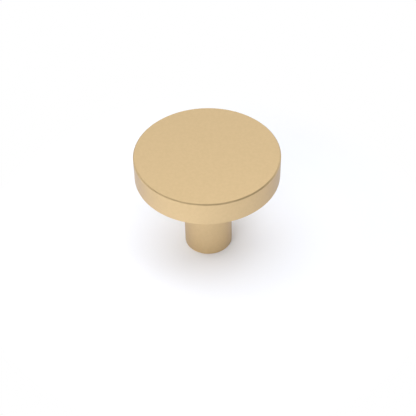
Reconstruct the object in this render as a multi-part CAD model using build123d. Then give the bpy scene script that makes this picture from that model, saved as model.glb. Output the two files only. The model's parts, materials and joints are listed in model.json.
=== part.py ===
# Cabinet knob: a flat round head on a straight round stem, turned in one piece from bar.
# The foot of the stem seats on the drawer or door front, and the knob is fastened from behind
# that front by the tapped hole in the foot.
#
# Millimetres. The origin is the centre of the foot, and +Z runs out along the stem to the head.

import os
from math import radians, tan

from build123d import *

# Head and stem
HEAD_DIAMETER = 35.0
HEAD_THICKNESS = 6.4
STEM_DIAMETER = 11.8
PROJECTION = 28.5  # from the foot to the face of the head

# Edges, as the lathe leaves them
FACE_CHAMFER = 0.3  # round the face of the head
BACK_CHAMFER = 0.3  # round the back of the head
FOOT_CHAMFER = 0.3  # round the foot of the stem
NECK_RADIUS = 0.4  # in the corner where the stem runs into the back of the head

# Tapped hole, with its wall at the size of the tapping drill
THREAD_DIAMETER = 4.0
THREAD_PITCH = 0.7
HOLE_DEPTH = 14.0  # from the foot to the end of the straight wall
DRILL_POINT_ANGLE = 118.0
COUNTERSINK_MARGIN = 0.3  # how far the mouth stands outside the thread, all round
COUNTERSINK_ANGLE = 90.0

PARTS = "parts"
NODE = "knob"


def turned_blank():
    """The head and stem as one solid of revolution, before the hole is drilled."""
    head_radius = HEAD_DIAMETER / 2
    stem_radius = STEM_DIAMETER / 2
    back = PROJECTION - HEAD_THICKNESS
    with BuildPart() as blank:
        with BuildSketch(Plane.XZ):
            with BuildLine():
                Polyline(
                    (0, 0),
                    (stem_radius - FOOT_CHAMFER, 0),
                    (stem_radius, FOOT_CHAMFER),
                    (stem_radius, back - NECK_RADIUS),
                )
                RadiusArc(
                    (stem_radius, back - NECK_RADIUS),
                    (stem_radius + NECK_RADIUS, back),
                    NECK_RADIUS,
                )
                Polyline(
                    (stem_radius + NECK_RADIUS, back),
                    (head_radius - BACK_CHAMFER, back),
                    (head_radius, back + BACK_CHAMFER),
                    (head_radius, PROJECTION - FACE_CHAMFER),
                    (head_radius - FACE_CHAMFER, PROJECTION),
                    (0, PROJECTION),
                    (0, 0),
                )
            make_face()
        revolve(axis=Axis.Z)
    return blank.part


def tapped_hole():
    """The space that the countersink and the tapping drill take out of the foot."""
    drill_radius = (THREAD_DIAMETER - THREAD_PITCH) / 2
    mouth_radius = THREAD_DIAMETER / 2 + COUNTERSINK_MARGIN
    countersink_depth = (mouth_radius - drill_radius) / tan(radians(COUNTERSINK_ANGLE / 2))
    point_length = drill_radius / tan(radians(DRILL_POINT_ANGLE / 2))
    with BuildPart() as hole:
        with BuildSketch(Plane.XZ):
            with BuildLine():
                Polyline(
                    (0, 0),
                    (mouth_radius, 0),
                    (drill_radius, countersink_depth),
                    (drill_radius, HOLE_DEPTH),
                    (0, HOLE_DEPTH + point_length),
                    (0, 0),
                )
            make_face()
        revolve(axis=Axis.Z)
    return hole.part


def knob():
    """The finished knob."""
    return turned_blank() - tapped_hole()


os.makedirs(PARTS, exist_ok=True)
export_step(knob(), f"{PARTS}/{NODE}.step")
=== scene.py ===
import json
import math

import bpy
from mathutils import Euler, Matrix, Vector


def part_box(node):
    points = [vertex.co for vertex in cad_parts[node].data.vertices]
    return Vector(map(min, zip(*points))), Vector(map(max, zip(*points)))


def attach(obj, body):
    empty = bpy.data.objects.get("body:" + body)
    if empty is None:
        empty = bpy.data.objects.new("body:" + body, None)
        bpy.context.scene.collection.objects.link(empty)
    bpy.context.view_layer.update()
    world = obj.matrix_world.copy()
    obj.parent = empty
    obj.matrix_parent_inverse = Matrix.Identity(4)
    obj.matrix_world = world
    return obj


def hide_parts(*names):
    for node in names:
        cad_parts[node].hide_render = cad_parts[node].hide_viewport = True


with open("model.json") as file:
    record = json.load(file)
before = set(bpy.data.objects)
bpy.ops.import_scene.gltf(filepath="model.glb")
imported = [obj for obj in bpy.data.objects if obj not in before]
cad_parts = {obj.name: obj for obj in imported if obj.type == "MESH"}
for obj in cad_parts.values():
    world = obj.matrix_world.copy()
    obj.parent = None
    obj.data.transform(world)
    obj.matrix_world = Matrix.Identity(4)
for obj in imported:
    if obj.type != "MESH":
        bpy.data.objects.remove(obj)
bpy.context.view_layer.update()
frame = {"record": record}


# Knob
# A flat round head on a straight stem, turned in one piece from brass bar, then blasted to an even
# satin and lacquered. The foot seats on the drawer or door front, and the hole drilled up into it is
# tapped M4.

MM = 0.001
tapped_hole = next(m for m in frame["record"]["mounts"] if m["name"] == "tapped_hole")
face_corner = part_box("knob")[1]

HEAD_RADIUS = face_corner.x
PROJECTION = face_corner.z
HEAD_THICKNESS = 6.4 * MM
STEM_RADIUS = 5.9 * MM
EDGE_CHAMFER = 0.3 * MM
EDGE_SOFTNESS = 0.08 * MM
NECK_RADIUS = 0.4 * MM

# The mount's length is that of the straight wall, which starts where the countersink ends.
DRILL_RADIUS = tapped_hole["dims"]["r_mm"] * MM
DRILL_POINT_HALF_ANGLE = math.radians(59)
MOUTH_RADIUS = 2.3 * MM
HOLE_DEPTH = tapped_hole["dims"]["length_mm"] * MM + MOUTH_RADIUS - DRILL_RADIUS

# The flat at the thread's root is an eighth of the pitch wide, a sixteenth to each side.
THREAD_RADIUS = 2.0 * MM
THREAD_PITCH = 0.7 * MM
THREAD_END = 12.5 * MM
THREAD_FLANK_ANGLE = math.radians(30)
THREAD_ROOT_SHARE = 1 / 16
TAP_LEAD_TURNS = 2.5

SEGMENTS = 192
SOFT_EDGE_STEPS = 5
OUTER_ROW = 2.0 * MM
THREAD_ROW = THREAD_PITCH / 10
SEAM_GAP = 0.001 * MM
FLAT_FACE_WEIGHT = 100

KNOB_SIZES = {
    "Head Radius": HEAD_RADIUS,
    "Head Thickness": HEAD_THICKNESS,
    "Stem Radius": STEM_RADIUS,
    "Projection": PROJECTION,
    "Edge Chamfer": EDGE_CHAMFER,
    "Edge Softness": EDGE_SOFTNESS,
    "Neck Radius": NECK_RADIUS,
    "Drill Radius": DRILL_RADIUS,
    "Mouth Radius": MOUTH_RADIUS,
    "Hole Depth": HOLE_DEPTH,
    "Thread Radius": THREAD_RADIUS,
    "Thread Pitch": THREAD_PITCH,
    "Thread End": THREAD_END,
    "Thread Row": THREAD_ROW,
    "Outer Row": OUTER_ROW,
}

SATIN_BRASS = "#D8BE92"
SATIN_BRASS_WARM = "#D4BA8E"
SATIN_GRAZING = "#B0B2C8"
SATIN_ROUGHNESS = 0.48
SATIN_ROUGHNESS_SPREAD = 0.02
LACQUER_WEIGHT = 0.3
LACQUER_ROUGHNESS = 0.25
BLAST_GRAIN = 0.7 * MM
BLAST_DEPTH = 0.008 * MM
BLAST_DETAIL = 2.0
GRAIN_FOR_TONE = (0.35, 0.65)
GRAIN_FOR_ROUGHNESS = (0.3, 0.7)

CUT_BRASS = "#D3B674"
CUT_BRASS_WORN = "#C4A460"
CUT_ROUGHNESS = 0.27
CUT_ROUGHNESS_SPREAD = 0.05
TOOL_LINE = 0.12 * MM
TOOL_LINE_DEPTH = 0.002 * MM
TOOL_LINE_WANDER = 1.5
TOOL_LINE_DETAIL = 1.0


def linear(colour):
    """An sRGB hex colour as linear red, green, blue and alpha."""
    channels = [int(colour[i:i + 2], 16) / 255 for i in (1, 3, 5)]
    return [c / 12.92 if c <= 0.04045 else ((c + 0.055) / 1.055) ** 2.4 for c in channels] + [1.0]


def add(tree, kind, inputs=None, **settings):
    """Adds a node with its settings, and gives inputs a value or a link from a node or an output."""
    made = tree.nodes.new(kind)
    for name, value in settings.items():
        setattr(made, name, value)
    for name, value in (inputs or {}).items():
        if isinstance(value, bpy.types.Node):
            value = value.outputs[0]
        if isinstance(value, bpy.types.NodeSocket):
            tree.links.new(value, made.inputs[name])
        else:
            made.inputs[name].default_value = value
    return made


def blasted_satin_brass():
    """Bead-blasted brass under thin clear lacquer: a soft, even satin with hardly any change of tone."""
    material = bpy.data.materials.new("blasted_satin_brass")
    material.use_nodes = True
    tree = material.node_tree
    shader = tree.nodes["Principled BSDF"]
    shader.inputs["Metallic"].default_value = 1.0
    # At a low angle the pits shade one another, so the metal is duller there than polished brass.
    shader.inputs["Specular Tint"].default_value = linear(SATIN_GRAZING)
    shader.inputs["Coat Weight"].default_value = LACQUER_WEIGHT
    shader.inputs["Coat Roughness"].default_value = LACQUER_ROUGHNESS
    place = add(tree, "ShaderNodeTexCoord").outputs["Object"]
    # The beads leave pits about 0.1 mm across, which are drawn coarser so that they show.
    grain = add(tree, "ShaderNodeTexNoise", {
        "Vector": place, "Scale": 1 / BLAST_GRAIN, "Detail": BLAST_DETAIL,
    })
    tone = add(tree, "ShaderNodeValToRGB", {"Fac": grain})
    tone.color_ramp.elements[0].position = GRAIN_FOR_TONE[0]
    tone.color_ramp.elements[0].color = linear(SATIN_BRASS_WARM)
    tone.color_ramp.elements[1].position = GRAIN_FOR_TONE[1]
    tone.color_ramp.elements[1].color = linear(SATIN_BRASS)
    roughness = add(tree, "ShaderNodeMapRange", {
        "Value": grain,
        "From Min": GRAIN_FOR_ROUGHNESS[0],
        "From Max": GRAIN_FOR_ROUGHNESS[1],
        "To Min": SATIN_ROUGHNESS - SATIN_ROUGHNESS_SPREAD,
        "To Max": SATIN_ROUGHNESS + SATIN_ROUGHNESS_SPREAD,
    })
    pits = add(tree, "ShaderNodeBump", {"Height": grain, "Distance": BLAST_DEPTH})
    tree.links.new(tone.outputs["Color"], shader.inputs["Base Color"])
    tree.links.new(roughness.outputs["Result"], shader.inputs["Roughness"])
    tree.links.new(pits.outputs["Normal"], shader.inputs["Normal"])
    return material


def cut_brass():
    """Bare brass as the drill and the tap leave it: yellower and brighter, with fine tool lines."""
    material = bpy.data.materials.new("cut_brass")
    material.use_nodes = True
    tree = material.node_tree
    shader = tree.nodes["Principled BSDF"]
    shader.inputs["Metallic"].default_value = 1.0
    place = add(tree, "ShaderNodeTexCoord").outputs["Object"]
    # A wave's bands repeat every tenth of pi, and the lines run round the axis of the hole.
    lines = add(tree, "ShaderNodeTexWave", {
        "Vector": place,
        "Scale": math.pi / 10 / TOOL_LINE,
        "Distortion": TOOL_LINE_WANDER,
        "Detail": TOOL_LINE_DETAIL,
    }, bands_direction="Z")
    tone = add(tree, "ShaderNodeValToRGB", {"Fac": lines})
    tone.color_ramp.elements[0].color = linear(CUT_BRASS_WORN)
    tone.color_ramp.elements[1].color = linear(CUT_BRASS)
    roughness = add(tree, "ShaderNodeMapRange", {
        "Value": lines,
        "To Min": CUT_ROUGHNESS + CUT_ROUGHNESS_SPREAD,
        "To Max": CUT_ROUGHNESS - CUT_ROUGHNESS_SPREAD,
    })
    ridges = add(tree, "ShaderNodeBump", {"Height": lines, "Distance": TOOL_LINE_DEPTH})
    tree.links.new(tone.outputs["Color"], shader.inputs["Base Color"])
    tree.links.new(roughness.outputs["Result"], shader.inputs["Roughness"])
    tree.links.new(ridges.outputs["Normal"], shader.inputs["Normal"])
    return material


def half_section(tree, size):
    """The half section as a curve from the drill's point to the face: radius on X, height on Z."""
    slope = math.tan(DRILL_POINT_HALF_ANGLE)
    point = add(tree, "ShaderNodeMath", {0: size["Drill Radius"], 1: slope}, operation="DIVIDE")
    tip = add(tree, "ShaderNodeMath", {0: size["Hole Depth"], 1: point}, operation="ADD")
    sink = add(
        tree, "ShaderNodeMath", {0: size["Mouth Radius"], 1: size["Drill Radius"]}, operation="SUBTRACT"
    )
    back = add(
        tree, "ShaderNodeMath", {0: size["Projection"], 1: size["Head Thickness"]}, operation="SUBTRACT"
    )
    soft = size["Edge Softness"]
    chamfer = size["Edge Chamfer"]
    # Each corner has a place, a chamfer, a softness, and the spacing of the rows that follow it.
    corners = [
        (0.0, tip, 0.0, 0.0, size["Thread Row"]),
        (size["Drill Radius"], size["Hole Depth"], 0.0, soft, size["Thread Row"]),
        (size["Drill Radius"], sink, 0.0, soft, size["Thread Row"]),
        (size["Mouth Radius"], 0.0, 0.0, soft, size["Outer Row"]),
        (size["Stem Radius"], 0.0, chamfer, soft, size["Outer Row"]),
        (size["Stem Radius"], back, 0.0, size["Neck Radius"], size["Outer Row"]),
        (size["Head Radius"], back, chamfer, soft, size["Outer Row"]),
        (size["Head Radius"], size["Projection"], chamfer, soft, size["Outer Row"]),
        (0.0, size["Projection"], 0.0, 0.0, size["Outer Row"]),
    ]
    index = add(tree, "GeometryNodeInputIndex")
    places = add(tree, "GeometryNodeIndexSwitch", {"Index": index}, data_type="VECTOR")
    chamfers = add(tree, "GeometryNodeIndexSwitch", {"Index": index}, data_type="FLOAT")
    softness = add(tree, "GeometryNodeIndexSwitch", {"Index": index}, data_type="FLOAT")
    spacing = add(tree, "GeometryNodeIndexSwitch", {"Index": index}, data_type="FLOAT")
    for i, (radius, height, *rest) in enumerate(corners):
        values = [add(tree, "ShaderNodeCombineXYZ", {"X": radius, "Z": height}).outputs[0], *rest]
        for switch, value in zip((places, chamfers, softness, spacing), values):
            if i >= len(switch.index_switch_items):
                switch.index_switch_items.new()
            if isinstance(value, bpy.types.NodeSocket):
                tree.links.new(value, switch.inputs[str(i)])
    line = add(tree, "GeometryNodeMeshLine", {"Count": len(corners)})
    line = add(tree, "GeometryNodeSetPosition", {"Geometry": line, "Position": places})
    for name, values in (("softness", softness), ("spacing", spacing)):
        line = add(tree, "GeometryNodeStoreNamedAttribute", {
            "Geometry": line, "Name": name, "Value": values,
        })
    section = add(tree, "GeometryNodeMeshToCurve", {"Mesh": line})
    section = add(tree, "GeometryNodeFilletCurve", {
        "Curve": section, "Count": 1, "Radius": chamfers,
    }, mode="POLY")
    section = add(tree, "GeometryNodeFilletCurve", {
        "Curve": section, "Count": SOFT_EDGE_STEPS, "Limit Radius": True,
        "Radius": add(tree, "GeometryNodeInputNamedAttribute", {"Name": "softness"}),
    }, mode="POLY")

    # Rows lie close together down the hole, to carry the thread, and further apart on the outside.
    along = add(tree, "GeometryNodeSplineParameter").outputs["Length"]
    following = add(tree, "FunctionNodeIntegerMath", {0: index, 1: 1}, operation="ADD")
    next_along = add(tree, "GeometryNodeFieldAtIndex", {"Value": along, "Index": following})
    run = add(tree, "ShaderNodeMath", {0: next_along, 1: along}, operation="SUBTRACT")
    row = add(tree, "GeometryNodeInputNamedAttribute", {"Name": "spacing"})
    rows = add(tree, "ShaderNodeMath", {0: run, 1: row}, operation="DIVIDE")
    cuts = add(tree, "ShaderNodeMath", {0: rows}, operation="FLOOR")
    return add(tree, "GeometryNodeSubdivideCurve", {"Curve": section, "Cuts": cuts})


def tapped_radius(tree, size, place, turn):
    """The radius at a place on the section, with the thread's groove cut into the wall of the hole."""
    # The groove climbs one pitch a turn, flat at its root and with straight flanks.
    depth = add(
        tree, "ShaderNodeMath", {0: size["Thread Radius"], 1: size["Drill Radius"]}, operation="SUBTRACT"
    )
    turns = add(tree, "ShaderNodeMath", {0: place["Z"], 1: size["Thread Pitch"]}, operation="DIVIDE")
    climb = add(tree, "ShaderNodeMath", {0: turns, 1: turn}, operation="SUBTRACT")
    share = add(tree, "ShaderNodeMath", {0: climb, 1: 1.0, 2: 0.0}, operation="WRAP")
    off_middle = add(tree, "ShaderNodeMath", {0: share, 1: 0.5}, operation="SUBTRACT")
    off_middle = add(tree, "ShaderNodeMath", {0: off_middle}, operation="ABSOLUTE")
    off_root = add(
        tree, "ShaderNodeMath", {0: off_middle, 1: size["Thread Pitch"]}, operation="MULTIPLY"
    )
    root = add(
        tree, "ShaderNodeMath", {0: size["Thread Pitch"], 1: THREAD_ROOT_SHARE}, operation="MULTIPLY"
    )
    flank = math.tan(THREAD_FLANK_ANGLE)
    crest = add(tree, "ShaderNodeMath", {0: depth, 1: flank, 2: root}, operation="MULTIPLY_ADD")
    groove = add(tree, "ShaderNodeMapRange", {
        "Value": off_root, "From Min": root, "From Max": crest, "To Min": depth, "To Max": 0.0,
    })
    # It stops short of the drill's point, and the tap's lead makes its last turns shallow.
    lead = add(
        tree, "ShaderNodeMath", {0: size["Thread Pitch"], 1: TAP_LEAD_TURNS}, operation="MULTIPLY"
    )
    lead_start = add(tree, "ShaderNodeMath", {0: size["Thread End"], 1: lead}, operation="SUBTRACT")
    full = add(tree, "ShaderNodeMapRange", {
        "Value": place["Z"],
        "From Min": lead_start,
        "From Max": size["Thread End"],
        "To Min": 1.0,
        "To Max": 0.0,
    })
    cut = add(
        tree, "ShaderNodeMath", {0: groove, 1: full, 2: size["Drill Radius"]}, operation="MULTIPLY_ADD"
    )
    tapped = add(tree, "ShaderNodeMath", {0: place["Z"], 1: size["Thread End"]}, operation="LESS_THAN")
    cut = add(tree, "ShaderNodeMath", {0: cut, 1: tapped}, operation="MULTIPLY")
    return add(tree, "ShaderNodeMath", {0: place["X"], 1: cut}, operation="MAXIMUM")


def turned_knob_tree(outside, inside):
    """A tree that turns the half section round Z, with one material outside and one in the hole."""
    tree = bpy.data.node_groups.new("turned_knob", "GeometryNodeTree")
    tree.interface.new_socket("Geometry", in_out="OUTPUT", socket_type="NodeSocketGeometry")
    for name in KNOB_SIZES:
        tree.interface.new_socket(name, in_out="INPUT", socket_type="NodeSocketFloat")
    size = add(tree, "NodeGroupInput").outputs
    section = half_section(tree, size)

    # A grid with one row for each point of the section is wrapped once round Z, and its seam and its
    # poles are closed.
    points = add(tree, "GeometryNodeAttributeDomainSize", {"Geometry": section}, component="CURVE")
    columns = SEGMENTS + 1
    knob = add(tree, "GeometryNodeMeshGrid", {"Vertices X": points, "Vertices Y": columns})
    index = add(tree, "GeometryNodeInputIndex")
    row = add(tree, "FunctionNodeIntegerMath", {0: index, 1: columns}, operation="DIVIDE_FLOOR")
    column = add(tree, "FunctionNodeIntegerMath", {0: index, 1: columns}, operation="MODULO")
    turn = add(tree, "ShaderNodeMath", {0: column, 1: -1 / SEGMENTS}, operation="MULTIPLY")
    position = add(tree, "GeometryNodeInputPosition")
    on_section = add(tree, "GeometryNodeSampleIndex", {
        "Geometry": section, "Value": position, "Index": row,
    }, data_type="FLOAT_VECTOR")
    place = add(tree, "ShaderNodeSeparateXYZ", {0: on_section}).outputs
    radius = tapped_radius(tree, size, place, turn)
    flat = add(tree, "ShaderNodeCombineXYZ", {"X": radius, "Z": place["Z"]})
    angle = add(tree, "ShaderNodeMath", {0: turn, 1: math.tau}, operation="MULTIPLY")
    turned = add(
        tree, "ShaderNodeVectorRotate", {"Vector": flat, "Angle": angle}, rotation_type="Z_AXIS"
    )
    knob = add(tree, "GeometryNodeSetPosition", {"Geometry": knob, "Position": turned})
    knob = add(tree, "GeometryNodeMergeByDistance", {"Geometry": knob, "Distance": SEAM_GAP})
    knob = add(tree, "GeometryNodeSetShadeSmooth", {"Geometry": knob})
    knob = add(tree, "GeometryNodeRealizeInstances", {"Geometry": knob})

    # The hole is all that lies inside its mouth's radius and below the back of the head.
    spot = add(tree, "ShaderNodeSeparateXYZ", {0: position}).outputs
    across = add(tree, "ShaderNodeCombineXYZ", {"X": spot["X"], "Y": spot["Y"]})
    off_axis = add(tree, "ShaderNodeVectorMath", {0: across}, operation="LENGTH").outputs["Value"]
    in_mouth = add(
        tree, "ShaderNodeMath", {0: off_axis, 1: size["Mouth Radius"]}, operation="LESS_THAN"
    )
    back = add(
        tree, "ShaderNodeMath", {0: size["Projection"], 1: size["Head Thickness"]}, operation="SUBTRACT"
    )
    below = add(tree, "ShaderNodeMath", {0: spot["Z"], 1: back}, operation="LESS_THAN")
    in_hole = add(tree, "ShaderNodeMath", {0: in_mouth, 1: below}, operation="MULTIPLY")
    knob = add(tree, "GeometryNodeSetMaterial", {"Geometry": knob, "Material": outside})
    knob = add(tree, "GeometryNodeSetMaterial", {
        "Geometry": knob, "Selection": in_hole, "Material": inside,
    })
    add(tree, "NodeGroupOutput", {"Geometry": knob})
    return tree


knob = bpy.data.objects.new("turned_knob", bpy.data.meshes.new("turned_knob"))
bpy.context.scene.collection.objects.link(knob)
turning = knob.modifiers.new("turning", "NODES")
turning.node_group = turned_knob_tree(blasted_satin_brass(), cut_brass())
for socket in turning.node_group.interface.items_tree:
    if socket.in_out == "INPUT":
        turning[socket.identifier] = KNOB_SIZES[socket.name]
# Large faces lead the shading, so that the flats stay flat beside the soft edges.
flat_faces = knob.modifiers.new("flat_faces", "WEIGHTED_NORMAL")
flat_faces.weight = FLAT_FACE_WEIGHT
evaluated = knob.evaluated_get(bpy.context.evaluated_depsgraph_get())
knob.data = bpy.data.meshes.new_from_object(evaluated)
knob.modifiers.clear()
# The grid's own slot, which is empty, goes, and the two materials stay.
knob.data.materials.pop(index=0)
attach(knob, "root")
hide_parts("knob")


# Floor
# A sheet of matt white paper that the knob stands on. Close by it is lit paper, which takes the shadow
# and shows in the knob's metal, and further out it fades to the plain white of the background.

FLOOR_HALF_SIZE = 2.0
PAPER_WHITE = "#F3F6FD"
PLAIN_WHITE = "#FFFFFF"
SHADOW_REACH = 38 * MM
WHITE_FROM = 60 * MM

floor_mesh = bpy.data.meshes.new("floor")
floor_mesh.from_pydata(
    [(x * FLOOR_HALF_SIZE, y * FLOOR_HALF_SIZE, 0) for x, y in ((-1, -1), (1, -1), (1, 1), (-1, 1))],
    [],
    [(0, 1, 2, 3)],
)
# Matt paper has no highlight, and its slightly cool white keeps the shadow grey beside the brass.
paper = bpy.data.materials.new("matt_white_paper")
paper.use_nodes = True
sheet = paper.node_tree
sheet.nodes.clear()
place = add(sheet, "ShaderNodeTexCoord").outputs["Object"]
off_knob = add(sheet, "ShaderNodeVectorMath", {0: place}, operation="LENGTH").outputs["Value"]
white_share = add(sheet, "ShaderNodeMapRange", {
    "Value": off_knob, "From Min": SHADOW_REACH, "From Max": WHITE_FROM,
}, interpolation_type="SMOOTHSTEP")
ray = add(sheet, "ShaderNodeLightPath").outputs
seen = add(
    sheet, "ShaderNodeMath", {0: ray["Is Camera Ray"], 1: ray["Is Glossy Ray"]}, operation="MAXIMUM"
)
seen = add(sheet, "ShaderNodeMath", {0: seen, 1: ray["Is Transmission Ray"]}, operation="MAXIMUM")
white_share = add(sheet, "ShaderNodeMath", {0: white_share, 1: seen}, operation="MULTIPLY")
lit = add(sheet, "ShaderNodeBsdfDiffuse", {"Color": linear(PAPER_WHITE)})
plain = add(sheet, "ShaderNodeEmission", {"Color": linear(PLAIN_WHITE), "Strength": 1.0})
surface = add(sheet, "ShaderNodeMixShader", {0: white_share, 1: lit, 2: plain})
add(sheet, "ShaderNodeOutputMaterial", {"Surface": surface})
floor_mesh.materials.append(paper)
floor = bpy.data.objects.new("floor", floor_mesh)
bpy.context.scene.collection.objects.link(floor)


# Light
# A white table and back wall in a dim room, with a large soft box overhead and long low ones round the
# front left. They give the face its even satin, and the side and the stem their change of tone. Three
# small lamps light the paper.

# The table's white fades out between these heights over the horizon, each the sine of an angle.
HORIZON_WHITE = (math.sin(math.radians(9)), math.sin(math.radians(13)))
# The wall's white fades in between these cosines of the angle from its middle.
BACK_WALL = (0.06, 0.64)
BACK_WALL_TURN = math.radians(7)
DIM_ROOM = 0.28
AIM = Vector((0, 0, 15)) * MM
# Each has a place, a width and a height, all in millimetres, and a power in watts.
SOFT_BOXES = {
    "overhead": ((0, 0, 420), 450, 450, 0.79),
    "low_front": ((-50, -160, 32), 360, 54, 0.02),
    "low_corner": ((-110, -110, 32), 360, 54, 0.115),
    "low_left": ((-150, -50, 32), 360, 54, 0.045),
    "paper_left": ((-120, 30, 80), 120, 120, 0.048),
    "paper_right": ((100, -50, 250), 120, 120, 0.10),
    "paper_front": ((-60, -120, 60), 80, 80, 0.075),
}

world = bpy.data.worlds.new("studio")
bpy.context.scene.world = world
world.use_nodes = True
room = world.node_tree
direction = add(room, "ShaderNodeTexCoord").outputs["Generated"]
rise = add(room, "ShaderNodeSeparateXYZ", {0: direction}).outputs["Z"]
horizon = add(room, "ShaderNodeMapRange", {
    "Value": rise,
    "From Min": HORIZON_WHITE[0],
    "From Max": HORIZON_WHITE[1],
    "To Min": 1.0,
    "To Max": 0.0,
}, interpolation_type="SMOOTHSTEP")
to_wall = Vector((math.sin(BACK_WALL_TURN), math.cos(BACK_WALL_TURN), 0.0))
facing_wall = add(room, "ShaderNodeVectorMath", {0: direction, 1: to_wall}, operation="DOT_PRODUCT")
wall = add(room, "ShaderNodeMapRange", {
    "Value": facing_wall.outputs["Value"], "From Min": BACK_WALL[0], "From Max": BACK_WALL[1],
}, interpolation_type="SMOOTHSTEP")
white = add(room, "ShaderNodeMath", {0: horizon, 1: wall}, operation="MAXIMUM")
strength = add(room, "ShaderNodeMapRange", {"Value": white, "To Min": DIM_ROOM})
room.nodes["Background"].inputs["Color"].default_value = linear(PLAIN_WHITE)
room.links.new(strength.outputs["Result"], room.nodes["Background"].inputs["Strength"])

for name, (spot, width, height, power) in SOFT_BOXES.items():
    lamp = bpy.data.lights.new(name, "AREA")
    lamp.shape = "RECTANGLE"
    lamp.size = width * MM
    lamp.size_y = height * MM
    lamp.energy = power
    soft_box = bpy.data.objects.new(name, lamp)
    soft_box.location = Vector(spot) * MM
    soft_box.rotation_euler = (soft_box.location - AIM).to_track_quat("Z", "Y").to_euler()
    soft_box.visible_camera = False
    # The lamps for the paper don't show in the metal, which shows the lit paper in their place.
    soft_box.visible_glossy = not name.startswith("paper")
    bpy.context.scene.collection.objects.link(soft_box)


# Camera
# It looks down on the knob from the front, as a seller's camera does, with a portrait lens. It is about
# 250 mm away and leans a little to one side.

CAMERA_LENS = 85.0
CAMERA_SENSOR = 36.0
CAMERA_NEAREST = 10 * MM
CAMERA_PLACE = (0.0, -175.46 * MM, 180.40 * MM)
CAMERA_PITCH = math.radians(44.06)
CAMERA_ROLL = math.radians(-1.141)

camera = bpy.data.objects.new("camera", bpy.data.cameras.new("camera"))
camera.data.lens = CAMERA_LENS
camera.data.sensor_width = CAMERA_SENSOR
camera.data.clip_start = CAMERA_NEAREST
turned_down = Euler((math.pi / 2 - CAMERA_PITCH, 0.0, 0.0)).to_matrix()
camera.matrix_world = Matrix.Translation(CAMERA_PLACE) @ (
    turned_down @ Matrix.Rotation(CAMERA_ROLL, 3, "Z")
).to_4x4()
bpy.context.scene.collection.objects.link(camera)
bpy.context.scene.camera = camera
bpy.context.scene.view_settings.view_transform = "Standard"
